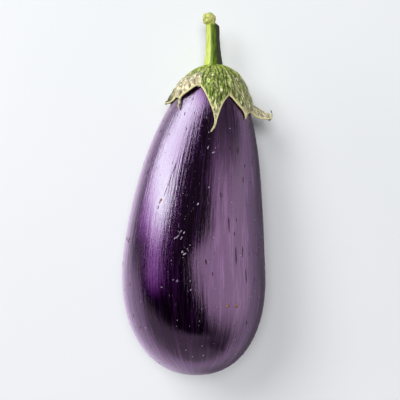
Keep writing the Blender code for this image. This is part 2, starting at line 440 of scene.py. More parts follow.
def fruitRule(material):
    shape = fruitShape
    sizes = {
        "Length": shape["length"],
        "Belly Radius": shape["bellyRadius"],
        "Belly Along": shape["bellyAlong"],
        "Neck Along Power": shape["neckAlongPower"],
        "Neck Across Power": shape["neckAcrossPower"],
        "Blossom Power": shape["blossomPower"],
        "Straight Along": shape["straightAlong"],
        "Neck Sway": shape["neckSway"],
        "Blossom Sway": shape["blossomSway"],
        "Sway Power": shape["swayPower"],
        **fruitSkin,
    }
    tree, given = newTree("fruitRule", sizes)

    calc = mathIn(tree)
    feeds = {"Segments": given["Segments"], "Rings": given["Rings"]}
    ball = addNode(tree, "GeometryNodeMeshUVSphere", feeds)
    place = addNode(tree, "GeometryNodeInputPosition")
    height = addNode(tree, "ShaderNodeSeparateXYZ", {0: place}).outputs[2]
    flat = addNode(tree, "ShaderNodeVectorMath", {0: place, 1: (1.0, -1.0, 0.0)}, operation="MULTIPLY")
    across = addNode(tree, "ShaderNodeVectorMath", {0: flat}, operation="LENGTH").outputs["Value"]
    around = addNode(tree, "ShaderNodeVectorMath", {0: flat}, operation="NORMALIZE")
    sides = addNode(tree, "ShaderNodeSeparateXYZ", {0: around}).outputs
    isNeck = calc("GREATER_THAN", height, 0.0)

    # Along: the neck and the blossom end each have their own reach and power.
    feeds = {0: isNeck, 1: given["Belly Along"], 2: calc("SUBTRACT", given["Length"], given["Belly Along"])}
    reach = addNode(tree, "GeometryNodeSwitch", feeds, input_type="FLOAT").outputs[0]
    endPower = calc("DIVIDE", 2.0, given["Blossom Power"])
    feeds = {0: isNeck, 1: endPower, 2: calc("DIVIDE", 2.0, given["Neck Along Power"])}
    alongPower = addNode(tree, "GeometryNodeSwitch", feeds, input_type="FLOAT").outputs[0]
    bent = calc("POWER", calc("ABSOLUTE", height), alongPower)
    along = calc("MULTIPLY_ADD", calc("MULTIPLY", bent, calc("SIGN", height)), reach, given["Belly Along"])

    # Radius, with lumps and flutes that fade towards both ends.
    feeds = {0: isNeck, 1: endPower, 2: calc("DIVIDE", 2.0, given["Neck Across Power"])}
    acrossPower = addNode(tree, "GeometryNodeSwitch", feeds, input_type="FLOAT").outputs[0]
    share = calc("POWER", across, acrossPower)
    radius = calc("MULTIPLY", share, given["Belly Radius"])
    alongShare = calc("DIVIDE", along, given["Belly Radius"])
    skinPlace = addNode(tree, "ShaderNodeCombineXYZ", {0: sides[0], 1: alongShare, 2: sides[1]})
    lumps = addNode(
        tree,
        "ShaderNodeTexNoise",
        {"Vector": skinPlace, "W": given["Seed"], "Scale": 1.1, "Detail": 1.0},
        noise_dimensions="4D",
    )
    stretched = addNode(
        tree, "ShaderNodeVectorMath", {0: skinPlace, 1: (1.0, 0.10, 1.0)}, operation="MULTIPLY"
    )
    flutes = addNode(
        tree,
        "ShaderNodeTexNoise",
        {"Vector": stretched, "W": given["Seed"], "Scale": 4.5, "Detail": 2.0, "Roughness": 0.5},
        noise_dimensions="4D",
    )
    feeds = {"Value": along, "From Min": 0.150, "From Max": 0.178, "To Min": 1.0, "To Max": 0.0}
    fadeNeck = addNode(tree, "ShaderNodeMapRange", feeds, interpolation_type="SMOOTHSTEP")
    lumpRise = calc("MULTIPLY", calc("ADD", lumps.outputs[0], -0.5), given["Lump Depth"])
    rise = calc("MULTIPLY_ADD", calc("ADD", flutes.outputs[0], -0.5), given["Flute Depth"], lumpRise)
    fade = calc("MULTIPLY", fadeNeck.outputs[0], calc("MULTIPLY", share, share))
    wholeRadius = calc("MULTIPLY_ADD", rise, fade, radius)

    # The blossom scar is a small dimple at the very end.
    nearness = calc("DIVIDE", share, given["Scar Width"])
    dip = calc("DIVIDE", given["Scar Depth"], calc("POWER", 2.718, calc("MULTIPLY", nearness, nearness)))
    wholeAlong = calc("MULTIPLY_ADD", dip, calc("SUBTRACT", 1.0, isNeck), along)

    # The axis bends away from its straight part towards both ends.
    below = calc("MAXIMUM", calc("SUBTRACT", 1.0, calc("DIVIDE", along, given["Straight Along"])), 0.0)
    span = calc("SUBTRACT", given["Length"], given["Straight Along"])
    above = calc("MAXIMUM", calc("DIVIDE", calc("SUBTRACT", along, given["Straight Along"]), span), 0.0)
    endSway = calc("MULTIPLY", calc("POWER", below, given["Sway Power"]), given["Blossom Sway"])
    swayed = calc("MULTIPLY_ADD", calc("POWER", above, given["Sway Power"]), given["Neck Sway"], endSway)
    sideways = calc("MULTIPLY_ADD", wholeRadius, sides[0], swayed)
    upwards = calc("MULTIPLY", wholeRadius, sides[1])
    target = addNode(tree, "ShaderNodeCombineXYZ", {0: sideways, 1: wholeAlong, 2: upwards})

    stored = addNode(
        tree,
        "GeometryNodeStoreNamedAttribute",
        {"Geometry": ball, "Name": "skinPlace", "Value": skinPlace},
        data_type="FLOAT_VECTOR",
        domain="POINT",
    )
    moved = addNode(tree, "GeometryNodeSetPosition", {"Geometry": stored, "Position": target})
    whole = addNode(tree, "GeometryNodeRealizeInstances", {"Geometry": moved})
    finished = addNode(tree, "GeometryNodeSetMaterial", {"Geometry": whole, "Material": material})
    addNode(tree, "NodeGroupOutput", {0: finished})
    return tree


skinLook = {
    "fineStreaks": (0.06, 32.0, 6.0),        # how far noise is drawn out, its scale and its detail
    "broadStreaks": (0.10, 6.5, 3.0),
    "pits": (0.45, 60.0, 3.0),
    "pitShare": 0.035,
    "darkStops": [(0.42, "#050106"), (0.50, "#0b020f"), (0.60, "#290b31")],
    "paintedSheenStops": [(0.43, "#060108"), (0.50, "#26122c"), (0.57, "#5d4561")],
    "roughness": (0.05, 0.14),
    "reflectionTint": "#f0a2fb",
    "waxCoat": 0.62,
}


def skinMaterial():               # waxy eggplant skin: near-black purple, glossy, streaked from end to end, with a painted mauve reflection on its right side and blossom end
    look = skinLook
    material, tree, shader = newMaterial("waxyEggplantSkin")
    place = addNode(tree, "ShaderNodeAttribute", attribute_name="skinPlace").outputs["Vector"]

    calc = mathIn(tree)

    def streaks(squash, scale, detail):              # noise drawn out from end to end
        drawn = addNode(tree, "ShaderNodeMapping", {"Vector": place, "Scale": (1.0, squash, 1.0)})
        feeds = {"Vector": drawn, "Scale": scale, "Detail": detail, "Roughness": 0.62}
        return addNode(tree, "ShaderNodeTexNoise", feeds).outputs["Fac"]

    fine, broad, grain = [streaks(*look[name]) for name in ("fineStreaks", "broadStreaks", "pits")]
    both = calc("MULTIPLY_ADD", broad, 0.50, calc("MULTIPLY", fine, 0.50))
    surface = calc("MULTIPLY_ADD", grain, look["pitShare"], both)
    # Painted reflection: the base colour turns a paler mauve on the right side and towards the blossom end,
    # where the wall is mirrored, and falls back to dark near the neck as painted shade.
    sides = addNode(tree, "ShaderNodeSeparateXYZ", {0: place}).outputs
    feeds = {"Value": sides[0], "From Min": -0.05, "From Max": 0.55}
    onRight = addNode(tree, "ShaderNodeMapRange", feeds, interpolation_type="SMOOTHSTEP").outputs[0]
    feeds = {"Value": sides[1], "From Min": 0.62, "From Max": 0.25, "To Max": 0.5}
    atEnd = addNode(tree, "ShaderNodeMapRange", feeds, interpolation_type="SMOOTHSTEP").outputs[0]
    feeds = {"Value": sides[1], "From Min": 2.5, "From Max": 3.1, "To Min": 1.0, "To Max": 0.15}
    nearNeck = addNode(tree, "ShaderNodeMapRange", feeds, interpolation_type="SMOOTHSTEP").outputs[0]
    paintedSheenShare = calc("MULTIPLY", calc("MAXIMUM", onRight, atEnd), nearNeck)
    dark = addNode(tree, "ShaderNodeValToRGB", {0: both}, stops=look["darkStops"])
    purple = addNode(tree, "ShaderNodeValToRGB", {0: both}, stops=look["paintedSheenStops"])
    colour = addNode(tree, "ShaderNodeMix", {0: paintedSheenShare, 6: dark, 7: purple}, data_type="RGBA").outputs[2]
    tree.links.new(colour, shader.inputs["Base Color"])
    least, greatest = look["roughness"]
    feeds = {"Value": both, "From Min": 0.38, "From Max": 0.62, "To Min": least, "To Max": greatest}
    rough = addNode(tree, "ShaderNodeMapRange", feeds)
    tree.links.new(rough.outputs["Result"], shader.inputs["Roughness"])
    shader.inputs["IOR"].default_value = 1.5
    shader.inputs["Specular IOR Level"].default_value = 0.95
    shader.inputs["Specular Tint"].default_value = linearColour(look["reflectionTint"])
    shader.inputs["Coat Weight"].default_value = look["waxCoat"]
    shader.inputs["Coat Roughness"].default_value = 0.05
    bump = addNode(tree, "ShaderNodeBump", {"Height": surface, "Strength": 0.7, "Distance": 0.0006})
    tree.links.new(bump.outputs["Normal"], shader.inputs["Normal"])
    tree.links.new(bump.outputs["Normal"], shader.inputs["Coat Normal"])
    return material


def makeFruit():
    material = skinMaterial()
    mesh = meshFromTree("fruitBody", fruitRule(material), fruitSkin)
    mesh.transform(layDown)
    for vertex in mesh.vertices:
        vertex.co.z = max(vertex.co.z, 0.0)      # the small flat spot it lies on
    return finishPiece("fruitBody", mesh, material, "skin", "fruit")


fruit = makeFruit()


# Marks on the skin: corky dots and short dark nicks that are scattered by rule, and scars, cracks and rubbed
# patches that each have a place of their own.

skinSpecks = {
    "Density": 15000.0,          # for each square metre
    "Least Size": 0.00016,
    "Greatest Size": 0.00046,
    "Stretch": 1.3,              # along the fruit
    "Top Share": 1.9,            # how many more there are on the top side
    "Seed": 11,
}
skinNicks = {
    "Density": 16000.0,
    "Least Size": 0.00014,
    "Greatest Size": 0.00052,
    "Stretch": 3.4,
    "Top Share": 0.8,
    "Seed": 23,
}
skinScars = (                    # (bearing in degrees, along, length, width, turn in degrees), in metres
    (-31.8, 0.1098, 0.0042, 0.0022, 20.0),
    (27.7, 0.0447, 0.0032, 0.0024, 70.0),
    (36.1, 0.0447, 0.0036, 0.0026, 40.0),
)
darkScratches = (                # the same five values: fine cracks that run up the fruit
    (-24.2, 0.1300, 0.0090, 0.0007, 8.0),
    (-26.2, 0.1225, 0.0086, 0.0007, 9.0),
    (-28.6, 0.1155, 0.0080, 0.0006, 10.0),
    (27.8, 0.0945, 0.0110, 0.0013, -4.0),
    (34.6, 0.0755, 0.0130, 0.0014, -2.0),
    (41.2, 0.0781, 0.0090, 0.0013, 3.0),
    (44.5, 0.0633, 0.0100, 0.0014, -3.0),
    (62.1, 0.0798, 0.0080, 0.0013, 0.0),
    (37.3, 0.1428, 0.0060, 0.0013, 4.0),
    (42.6, 0.1236, 0.0050, 0.0011, 0.0),
    (57.6, 0.1358, 0.0056, 0.0013, 3.0),
    (20.0, 0.1130, 0.0044, 0.0013, -6.0),
    (9.8, 0.0714, 0.0040, 0.0014, -8.0),
)
paleScuffs = (                   # the same five values: where the wax is rubbed off to bare cork
    (-10.9, 0.0899, 0.0030, 0.0011, 38.0),
    (-12.8, 0.0870, 0.0034, 0.0012, 44.0),
    (-9.7, 0.0861, 0.0026, 0.0010, 30.0),
    (-14.8, 0.0861, 0.0022, 0.0009, 50.0),
    (-8.0, 0.0894, 0.0017, 0.0009, 25.0),
    (-6.5, 0.0763, 0.0026, 0.0012, 60.0),
    (-8.4, 0.0776, 0.0018, 0.0012, 20.0),
    (-12.1, 0.0599, 0.0020, 0.0010, 35.0),
    (-15.1, 0.0605, 0.0016, 0.0010, 50.0),
    (-1.7, 0.0545, 0.0015, 0.0010, 30.0),
    (5.3, 0.1433, 0.0026, 0.0009, 15.0),
    (11.2, 0.1402, 0.0024, 0.0012, 65.0),
    (9.2, 0.1178, 0.0017, 0.0010, 30.0),
    (1.1, 0.1071, 0.0020, 0.0009, 25.0),
)


def speckMaterial(name, stops):   # dry and matt against the waxy skin
    material, tree, shader = newMaterial(name)
    place = addNode(tree, "ShaderNodeTexCoord").outputs["Object"]
    patch = addNode(tree, "ShaderNodeTexNoise", {"Vector": place, "Scale": 170.0, "Detail": 1.0})
    colour = addNode(tree, "ShaderNodeValToRGB", {0: patch}, stops=stops)
    tree.links.new(colour.outputs[0], shader.inputs["Base Color"])
    shader.inputs["Roughness"].default_value = 0.6
    shader.inputs["Specular IOR Level"].default_value = 0.3
    return material


def speckRule(material):
    tree, given = newTree("speckRule", skinSpecks, takesGeometry=True)
    dot = addNode(tree, "GeometryNodeMeshIcoSphere", {"Radius": 1.0, "Subdivisions": 1})
    form = addNode(tree, "ShaderNodeCombineXYZ", {0: 0.8, 1: given["Stretch"], 2: 0.35})
    flat = addNode(tree, "GeometryNodeTransform", {"Geometry": dot, "Scale": form})
    patch = addNode(tree, "ShaderNodeTexNoise", {"Scale": 60.0, "Detail": 1.0})
    feeds = {"Value": patch, "From Min": 0.42, "From Max": 0.62, "To Min": 0.45, "To Max": 1.25}
    clumps = addNode(tree, "ShaderNodeMapRange", feeds).outputs["Result"]
    feeds = {"Name": "skinPlace"}
    place = addNode(tree, "GeometryNodeInputNamedAttribute", feeds, data_type="FLOAT_VECTOR")
    sides = addNode(tree, "ShaderNodeSeparateXYZ", {0: place}).outputs
    offTop = addNode(tree, "ShaderNodeMath", {0: sides[0], 1: -0.02}, operation="SUBTRACT")
    offTop = addNode(tree, "ShaderNodeMath", {0: offTop}, operation="ABSOLUTE")
    feeds = {"Value": offTop, "From Min": 0.15, "From Max": 0.45}
    feeds |= {"To Min": given["Top Share"], "To Max": 0.6}
    sunny = addNode(tree, "ShaderNodeMapRange", feeds).outputs["Result"]      # more on the top side
    density = addNode(tree, "ShaderNodeMath", {0: clumps, 1: given["Density"]}, operation="MULTIPLY")
    density = addNode(tree, "ShaderNodeMath", {0: density, 1: sunny}, operation="MULTIPLY")
    feeds = {"Mesh": given["Geometry"], "Density": density, "Seed": given["Seed"]}
    kind = "GeometryNodeDistributePointsOnFaces"
    scattered = addNode(tree, kind, feeds, distribute_method="RANDOM").outputs
    feeds = {2: 0.0, 3: 1.0, "Seed": given["Seed"]}
    share = addNode(tree, "FunctionNodeRandomValue", feeds, data_type="FLOAT")
    cubed = addNode(tree, "ShaderNodeMath", {0: share.outputs[1], 1: 2.5}, operation="POWER")
    feeds = {"Value": cubed, "To Min": given["Least Size"], "To Max": given["Greatest Size"]}
    scale = addNode(tree, "ShaderNodeMapRange", feeds).outputs["Result"]
    feeds = {"Rotation": scattered["Rotation"], "Vector": (0.0, 1.0, 0.0)}
    turned = addNode(tree, "FunctionNodeAlignRotationToVector", feeds, axis="Y", pivot_axis="Z")
    feeds = {"Points": scattered["Points"], "Instance": flat, "Rotation": turned, "Scale": scale}
    placed = addNode(tree, "GeometryNodeInstanceOnPoints", feeds)
    whole = addNode(tree, "GeometryNodeRealizeInstances", {"Geometry": placed})
    finished = addNode(tree, "GeometryNodeSetMaterial", {"Geometry": whole, "Material": material})
    addNode(tree, "NodeGroupOutput", {0: finished})
    return tree


def makeSpecks(name, values, material):
    mesh = meshFromTree(name, speckRule(material), values, fruit.data.copy())
    for vertex in mesh.vertices:
        vertex.co.z = max(vertex.co.z, 0.0)
    return finishPiece(name, mesh, material, "skin")


def scarMaterial():               # a healed scrape: dull brown cork, paler in the middle
    material, tree, shader = newMaterial("healedBrownScar")
    place = addNode(tree, "ShaderNodeTexCoord").outputs["Object"]
    patch = addNode(tree, "ShaderNodeTexNoise", {"Vector": place, "Scale": 1400.0, "Detail": 2.0})
    stops = [(0.35, "#4a2030"), (0.50, "#7a4c44"), (0.64, "#b08c78")]
    colour = addNode(tree, "ShaderNodeValToRGB", {0: patch}, stops=stops)
    tree.links.new(colour.outputs[0], shader.inputs["Base Color"])
    shader.inputs["Roughness"].default_value = 0.55
    shader.inputs["Specular IOR Level"].default_value = 0.3
    return material


markShape = {
    "rows": 13,                  # along each mark
    "columns": 7,
    "wobble": 0.25,              # of its edges, as a share of half its width
    "sink": 0.00008,             # its edges are just below the skin
    "rise": 0.00020,             # from its edges to its middle
}


def makeMarks(name, marks, material):
    size = markShape
    lastRow, lastColumn = size["rows"] - 1, size["columns"] - 1
    shape = bmesh.new()
    for bearing, along, length, width, turn in marks:
        rows = []
        radius = float(outline(polarAt(along))[1])
        for step in range(size["rows"]):
            way = 2 * step / lastRow - 1             # -1 to 1 from end to end
            row = []
            for column in range(size["columns"]):
                sideways = 2 * column / lastColumn - 1
                bulge = (1 - way * way) ** 0.5
                wobble = size["wobble"] * noise.noise(Vector((way * 2.2, along * 900, sideways)))
                forward, right = length / 2 * way, width / 2 * bulge * (sideways + wobble)
                upAlong = along + forward * cos(radians(turn)) - right * sin(radians(turn))
                around = forward * sin(radians(turn)) + right * cos(radians(turn))
                angle = radians(bearing) + around / radius
                ideal = skinPoints(polarAt(np.array(upAlong)), np.array(angle), np.array(0.0))
                onSkin, normal = fruit.closest_point_on_mesh(layDown @ Vector(ideal.tolist()))[1:3]
                lift = -size["sink"] + size["rise"] * bulge * (1 - sideways**2)
                row.append(shape.verts.new(onSkin + lift * normal))
            rows.append(row)
        for first, second in zip(rows, rows[1:]):
            for column in range(lastColumn):
                shape.faces.new((first[column], second[column], second[column + 1], first[column + 1]))
    bmesh.ops.remove_doubles(shape, verts=shape.verts, dist=1e-6)
    shape.normal_update()
    for face in shape.faces:
        if face.normal.z < 0:
            face.normal_flip()
    mesh = bpy.data.meshes.new(name)
    shape.to_mesh(mesh)
    shape.free()
    return finishPiece(name, mesh, material, "skin")


corkStops = [(0.36, "#4c3a52"), (0.50, "#83748a"), (0.64, "#c8bcc9")]
nickStops = [(0.36, "#12060f"), (0.50, "#28101f"), (0.64, "#46263a")]
scuffStops = [(0.36, "#5f5068"), (0.50, "#94889c"), (0.64, "#cbc3ce")]
makeSpecks("skinSpecks", skinSpecks, speckMaterial("paleCorkySpeck", corkStops))
makeSpecks("skinNicks", skinNicks, speckMaterial("darkDryNick", nickStops))
makeMarks("skinScars", skinScars, scarMaterial())
makeMarks("darkScratches", darkScratches, speckMaterial("darkOpenCrack", nickStops))
makeMarks("paleScuffs", paleScuffs, speckMaterial("rubbedPaleCork", scuffStops))


# Calyx: seven sepals that grow from one cap. Each row of a sepal's table is (share of the way from its
# notches to its tip, then for its left and right edges: bearing in degrees, along and lift in mm).

sepals = (
    {"name": "front", "tan": 0.0, "sink": 0.0, "rows": (
        (0.00, -18.0, 185.5, 0.5, 28.3, 179.4, 0.5),
        (0.20, -9.9, 181.7, 0.4, 20.6, 174.8, 0.4),
        (0.40, -2.7, 176.7, 0.4, 16.3, 170.4, 0.4),
        (0.58, 2.6, 171.8, 0.4, 14.1, 166.6, 0.4),
        (0.72, 6.5, 167.4, 0.4, 12.8, 164.0, 0.4),
        (0.82, 8.6, 163.6, 0.4, 11.8, 161.6, 0.4),
        (0.90, 9.6, 160.2, 0.4, 11.3, 158.9, 0.4),
        (0.95, 8.9, 157.0, 0.5, 10.0, 156.1, 0.5),
        (1.00, 6.5, 153.4, 0.7, 6.9, 153.3, 0.7),
    )},
    {"name": "rightFront", "tan": 0.30, "sink": 0.0, "rows": (
        (0.00, 28.3, 179.4, 0.5, 67.0, 170.0, 0.4),
        (0.25, 33.0, 177.4, 0.7, 63.5, 169.5, 0.4),
        (0.50, 39.0, 174.3, 0.7, 61.3, 168.9, 0.4),
        (0.70, 45.0, 171.6, 0.7, 58.5, 168.1, 0.4),
        (0.85, 50.0, 169.2, 0.6, 56.5, 167.0, 0.4),
        (0.94, 52.2, 167.0, 0.5, 54.6, 166.0, 0.4),
        (1.00, 52.1, 164.6, 0.4, 52.6, 164.5, 0.4),
    )},
    {"name": "farRight", "tan": 0.40, "sink": 0.3, "rows": (
        (0.00, 67.0, 170.0, 0.4, 125.0, 179.6, 0.5),
        (0.12, 71.0, 170.0, 0.9, 119.0, 178.6, 2.2),
        (0.30, 75.0, 168.7, 1.6, 114.0, 177.2, 3.9),
        (0.45, 77.0, 167.2, 2.7, 110.0, 175.5, 5.2),
        (0.58, 79.0, 166.1, 4.1, 107.0, 173.7, 6.8),
        (0.70, 81.0, 165.1, 5.8, 104.0, 171.5, 8.6),
        (0.80, 83.0, 164.6, 7.7, 101.0, 169.4, 10.5),
        (0.90, 85.0, 163.9, 9.7, 98.0, 168.0, 12.2),
        (1.00, 88.0, 163.9, 12.3, 93.0, 166.2, 13.4),
    )},
    {"name": "backRight", "tan": 0.2, "sink": 0.0, "rows": (
        (0.00, 125.0, 179.6, 0.5, 180.0, 182.6, 0.5),
        (0.25, 132.0, 175.6, 0.6, 171.0, 178.2, 0.6),
        (0.50, 139.5, 171.3, 0.6, 163.0, 173.4, 0.6),
        (0.72, 146.0, 167.4, 0.6, 157.0, 168.4, 0.6),
        (0.90, 150.6, 163.9, 0.7, 153.6, 164.1, 0.7),
        (1.00, 152.6, 160.6, 1.0, 153.1, 160.5, 1.0),
    )},
    {"name": "back", "tan": 0.2, "sink": 0.0, "rows": (
        (0.00, 180.0, 182.6, 0.5, 235.0, 180.6, 0.5),
        (0.25, 188.0, 178.4, 0.6, 226.0, 176.4, 0.6),
        (0.50, 195.5, 173.9, 0.6, 218.5, 172.3, 0.6),
        (0.72, 201.5, 169.2, 0.6, 212.5, 168.1, 0.6),
        (0.90, 205.8, 165.1, 0.6, 208.6, 164.6, 0.6),
        (1.00, 207.0, 162.0, 0.8, 207.5, 161.9, 0.8),
    )},
    {"name": "farLeft", "tan": 0.6, "sink": 1.1, "rows": (
        (0.00, 235.0, 180.6, 0.5, 285.0, 186.6, 0.7),
        (0.25, 242.0, 179.8, 1.0, 291.0, 183.0, 0.5),
        (0.50, 250.0, 179.0, 1.9, 296.0, 179.5, 0.4),
        (0.70, 258.0, 178.4, 2.9, 293.0, 178.2, 0.5),
        (0.85, 264.0, 177.9, 3.7, 287.0, 177.2, 1.0),
        (0.95, 269.5, 177.4, 4.1, 281.0, 176.7, 2.0),
        (1.00, 274.0, 176.2, 3.7, 275.0, 176.1, 3.5),
    )},
    {"name": "leftFront", "tan": 1.0, "sink": 0.0, "rows": (
        (0.00, 285.0, 186.6, 0.7, 342.0, 185.5, 0.5),
        (0.15, 286.0, 185.2, 0.7, 338.6, 185.9, 1.1),
        (0.35, 287.5, 183.4, 0.8, 332.8, 184.3, 1.7),
        (0.58, 291.0, 181.5, 0.8, 326.5, 181.8, 1.8),
        (0.75, 300.0, 179.7, 0.8, 321.2, 180.2, 1.6),
        (0.86, 308.0, 178.5, 0.9, 317.4, 179.1, 1.3),
        (0.91, 313.4, 177.6, 1.0, 316.2, 178.0, 1.2),
        (0.95, 317.2, 174.4, 0.9, 319.0, 174.6, 0.9),
        (1.00, 321.0, 170.4, 0.5, 321.5, 170.4, 0.5),
    )},
)
calyxShape = {
    "columns": 44,               # across each sepal
    "capRows": 30,
    "sepalRows": 46,
    "crownPolar": 0.05,
    "gap": 0.0003,
    "crownThickness": 0.0056,
    "fleshThickness": 0.0013,    # at the sepals' tips
    "edgeThickness": 0.0009,
    "edgeWidth": 0.0035,         # how far in from an edge a sepal thins
    "lipWidth": 0.00075,         # the pale line along each edge
    "furrowDepth": 0.00055,
    "furrowWidth": 0.00050,
    "furrows": 7,                # on each sepal
    "beadHeight": 0.00034,
    "beadSize": 0.0011,
}


def curveThrough(keys, values, at):     # a smooth curve through a table's rows
    slopes = np.gradient(values, keys, axis=0)
    place = np.clip(np.searchsorted(keys, at, side="right") - 1, 0, len(keys) - 2)
    width = (keys[place + 1] - keys[place])[:, None]
    share = (at - keys[place])[:, None] / width
    start, end = values[place], values[place + 1]
    fromStart = (2 * share**3 - 3 * share**2 + 1) * start
    first = fromStart + (share**3 - 2 * share**2 + share) * width * slopes[place]
    return first + (3 * share**2 - 2 * share**3) * end + (share**3 - share**2) * width * slopes[place + 1]


def sepalGrid(sepal):             # (under side's points, across share, along, bearing), by row and column
    size = calyxShape
    table = np.array(sepal["rows"])
    across = np.linspace(0.0, 1.0, size["columns"] + 1)
    way = np.linspace(0.0, 1.0, size["sepalRows"] + 1)
    edges = curveThrough(table[:, 0], table[:, 1:], way)
    edges[:, [0, 3]] = np.radians(edges[:, [0, 3]])
    edges[:, [1, 2, 4, 5]] *= 0.001
    left, right = edges[:, None, :3], edges[:, None, 3:]
    strip = mix(left, right, across[None, :, None])
    arch = 4 * across * (1 - across)
    fullness = np.sin(pi * np.minimum(way, 0.5))[:, None]
    strip[..., 2] -= 0.001 * sepal["sink"] * arch * fullness
    strip[..., 2] = np.maximum(strip[..., 2], size["gap"])
    polar = polarAt(strip[..., 1])
    capShare = np.linspace(0.0, 1.0, size["capRows"] + 1)[:-1, None]
    capPolar = mix(size["crownPolar"], polar[:1], capShare)
    capBearing = np.repeat(strip[:1, :, 0], size["capRows"], 0)
    capLift = mix(size["gap"], strip[:1, :, 2], capShare**2)
    polar = np.concatenate([capPolar, polar])
    bearing = np.concatenate([capBearing, strip[..., 0]])
    lift = np.concatenate([capLift, strip[..., 2]])
    return skinPoints(polar, bearing, lift), np.tile(across, (len(polar), 1)), outline(polar)[0], bearing


def gridNormals(points):
    down, over = np.gradient(points, axis=0), np.gradient(points, axis=1)
    normals = np.cross(over, down)
    normals /= np.maximum(np.linalg.norm(normals, axis=-1, keepdims=True), 1e-12)
    outward = points - np.stack([sway(points[..., 1]), points[..., 1] - 0.02, 0 * points[..., 2]], -1)
    return normals * np.sign((normals * outward).sum(-1, keepdims=True).mean())


def sepalRelief(number, sepal, points, across, along, bearing, edgeDistance):
    size = calyxShape
    first, last = sepal["rows"][0][1], sepal["rows"][0][4]
    halfAngle = radians(last - first) / 2
    byBearing = (bearing - radians(first + last) / 2) / halfAngle
    pattern = mix(byBearing, 2 * across - 1, 0.5)
    radius = np.hypot(points[..., 0] - sway(points[..., 1]), points[..., 2])
    place = pattern * halfAngle * radius             # metres from the sepal's middle line
    spread = halfAngle * radius
    furrow = np.zeros_like(place)
    for index in range(size["furrows"]):
        line = mix(-0.86, 0.86, index / (size["furrows"] - 1))
        line += 0.06 * np.sin(3.1 * index + 2.0 * number)
        waves = [
            noise.noise(Vector((5.0 * number + index, value * 330, 0.3))) for value in along[:, 0]
        ]
        breaks = [noise.noise(Vector((9.0 * number + index, value * 210, 7.7))) for value in along[:, 0]]
        centre = line * spread + 0.0011 * np.array(waves)[:, None]
        strength = np.clip(0.9 + 1.3 * np.array(breaks), 0.0, 1.0)[:, None]
        furrow = np.maximum(furrow, strength * np.exp(-(((place - centre) / size["furrowWidth"]) ** 2)))
    fade = smooth(0.0006, 0.0016, edgeDistance) * smooth(0.0045, 0.009, radius)
    furrow *= fade
    flat = points.reshape(-1, 3)
    drawn = flat * (1.0, 0.28, 1.0)
    beads = bumpyNoise(drawn, size["beadSize"], 3.0 + number).reshape(place.shape)
    fineBeads = bumpyNoise(drawn, size["beadSize"] * 0.5, 11.0 + number).reshape(place.shape)
    lumps = bumpyNoise(flat, 0.006, 5.0).reshape(place.shape)
    rise = size["beadHeight"] * (beads + 0.6 * fineBeads) * smooth(0.0003, 0.0012, edgeDistance)
    rise += 0.0005 * lumps * smooth(0.001, 0.004, edgeDistance)
    return rise - size["furrowDepth"] * furrow, furrow, beads + 0.6 * fineBeads


